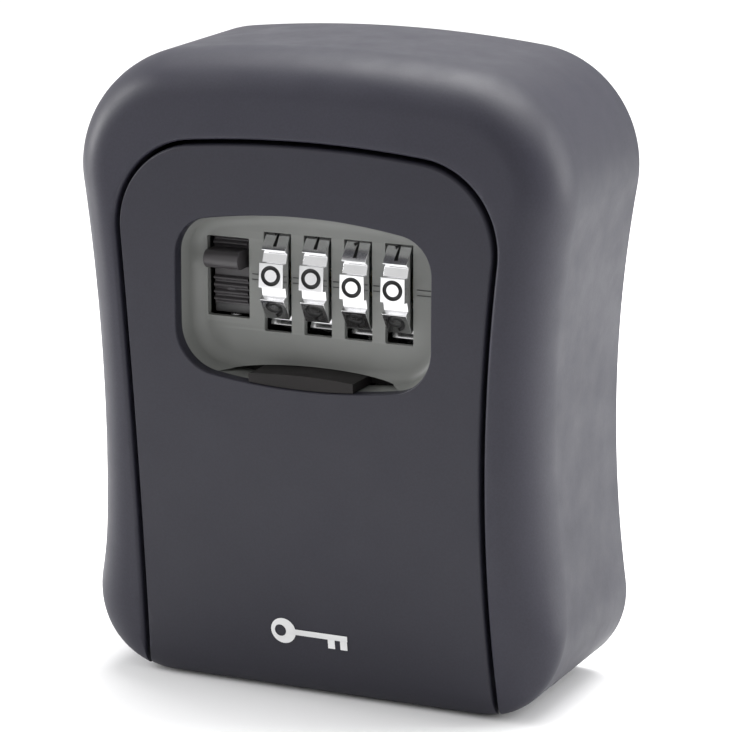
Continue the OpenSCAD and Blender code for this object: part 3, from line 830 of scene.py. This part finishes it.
def build_mark():
    """A plain key pictogram, printed low on the door."""
    parts = []
    for kind in ("bow", "stem", "bit_1", "bit_2"):
        if kind == "bow":
            outer = mark_disc(kind, MARK_X - 5.4, 30, 50, 2.5, 64)
            inner = mark_disc("eye", MARK_X - 6.0, 29, 51, 1.15, 48)
            parts.append(boolean(outer, [inner]))
        elif kind == "stem":
            parts.append(box_mesh(kind, MARK_X - 3.2, MARK_X + 7.6, 30, 50, MARK_Z - 0.55, MARK_Z + 0.55))
        else:
            x = MARK_X + (3.6 if kind == "bit_1" else 6.1)
            parts.append(box_mesh(kind, x, x + 1.4, 30, 50, MARK_Z - 2.3, MARK_Z))
    key = parts[0]
    boolean(key, parts[1:], "UNION")
    boolean(key, [front_slab("under", -0.03)])
    boolean(key, [front_slab("over", 0.012)], "INTERSECT")
    key.name = "key_pictogram"
    return finish_piece(key, MATS["mark"], "door", "door_paint")


# ---- carried-over CAD nodes ----
NODE_MATS = {
    "back_liner": "foam", "hinge_pins": "steel", "strike_plate": "steel", "strike_screws": "steel",
    "key_hook": "black", "hook_screw": "steel", "lock_box": "black", "box_screws": "steel",
    "detent_spring": "spring", "dial_axle": "steel", "code_sleeve_1": "brass", "code_sleeve_2": "brass",
    "code_sleeve_3": "brass", "code_sleeve_4": "brass",
    "bolt_plate": "dark_steel", "fence_comb": "dark_steel",
    "slider_rivets": "steel", "reset_lever": "lever", "lever_rivet": "steel",
}


def dress_nodes():
    for node, key in NODE_MATS.items():
        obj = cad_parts[node]
        obj.data.materials.clear()
        obj.data.materials.append(MATS[key])
        bevel(obj, 0.12 if key in ("steel", "brass", "spring") else 0.25, 2, 40)


build_case()
build_door()
build_panel()
build_pull()
build_dials()
build_slider()
build_spring()
build_mark()
dress_nodes()

# ---- floor, light and camera ----
def build_stage():
    bm = bmesh.new()
    floor_z = cad_box[0].z - 0.0001
    profile = [(-1.6, floor_z), (0.9, floor_z)]
    bend = [math.pi / 2 * k / 12 for k in range(1, 13)]
    profile += [(0.9 + 0.5 * math.sin(a), floor_z + 0.5 - 0.5 * math.cos(a)) for a in bend]
    profile.append((1.4, 2.4))
    rows = [[bm.verts.new((x, y, z)) for y, z in profile] for x in (-2.4, 2.4)]
    for k in range(len(profile) - 1):
        bm.faces.new((rows[0][k], rows[0][k + 1], rows[1][k + 1], rows[1][k]))
    floor = new_object("studio_sweep", bm)
    for p in floor.data.polygons:
        p.use_smooth = True
    n = Nodes("sweep_paper")
    tone = n.colours(n.noise(6, 3), [(0.3, (0.86, 0.86, 0.865)), (0.7, (0.88, 0.88, 0.885))])
    rough = n.spread(n.noise(40, 3), 0.7, 0.8)
    grain = n.bump(n.noise(900, 2), 0.05, 0.05)
    floor.data.materials.append(n.done(tone, rough, grain, specular=0.2))


def area_light(name, location, target, size, energy, colour=(1, 1, 1)):
    light = bpy.data.lights.new(name, "AREA")
    light.shape, light.size, light.size_y = "RECTANGLE", size[0], size[1]
    light.energy, light.color = energy, colour
    obj = bpy.data.objects.new(name, light)
    bpy.context.scene.collection.objects.link(obj)
    obj.location = location
    obj.rotation_mode = "QUATERNION"
    obj.rotation_quaternion = (Vector(target) - Vector(location)).to_track_quat("-Z", "Y")
    return obj


def build_light():
    world = bpy.data.worlds.new("studio")
    bpy.context.scene.world = world
    world.use_nodes = True
    world.node_tree.nodes["Background"].inputs["Color"].default_value = (1, 1, 1, 1)
    world.node_tree.nodes["Background"].inputs["Strength"].default_value = 0.75
    area_light("top_box", (0.05, 0.2, 0.7), (0, 0, 0), (0.8, 0.5), 9.0)
    area_light("right_box", (0.68, 0.36, 0.25), (0, 0, 0), (0.35, 0.9), 6.5)
    area_light("left_box", (-0.75, -0.15, 0.15), (0, 0, 0), (0.25, 0.8), 7.0)


CAMERA_TURN, CAMERA_RISE, CAMERA_ROLL = 25.06, 14.11, -0.265
CAMERA_AIM = (0.0, -0.02069, -0.00083)
CAMERA_FAR = 0.67328
CAMERA_LENS = 178.9
CAMERA_SHIFT = (0.0186, 0.0013)


def build_camera():
    data = bpy.data.cameras.new("camera")
    camera = bpy.data.objects.new("camera", data)
    bpy.context.scene.collection.objects.link(camera)
    turn, rise = math.radians(CAMERA_TURN), math.radians(CAMERA_RISE)
    back = Vector((math.sin(turn) * math.cos(rise), -math.cos(turn) * math.cos(rise), math.sin(rise)))
    camera.location = Vector(CAMERA_AIM) + back * CAMERA_FAR
    roll = Matrix.Rotation(math.radians(CAMERA_ROLL), 4, "Z")
    camera.rotation_mode = "QUATERNION"
    aim = (-back).to_track_quat("-Z", "Y").to_matrix().to_4x4()
    camera.rotation_quaternion = (aim @ roll).to_quaternion()
    data.sensor_width, data.lens = 36.0, CAMERA_LENS
    data.shift_x, data.shift_y = CAMERA_SHIFT
    data.clip_start, data.clip_end = 0.01, 20.0
    bpy.context.scene.camera = camera


build_stage()
build_light()
build_camera()
scene = bpy.context.scene
scene.view_settings.view_transform = "Standard"
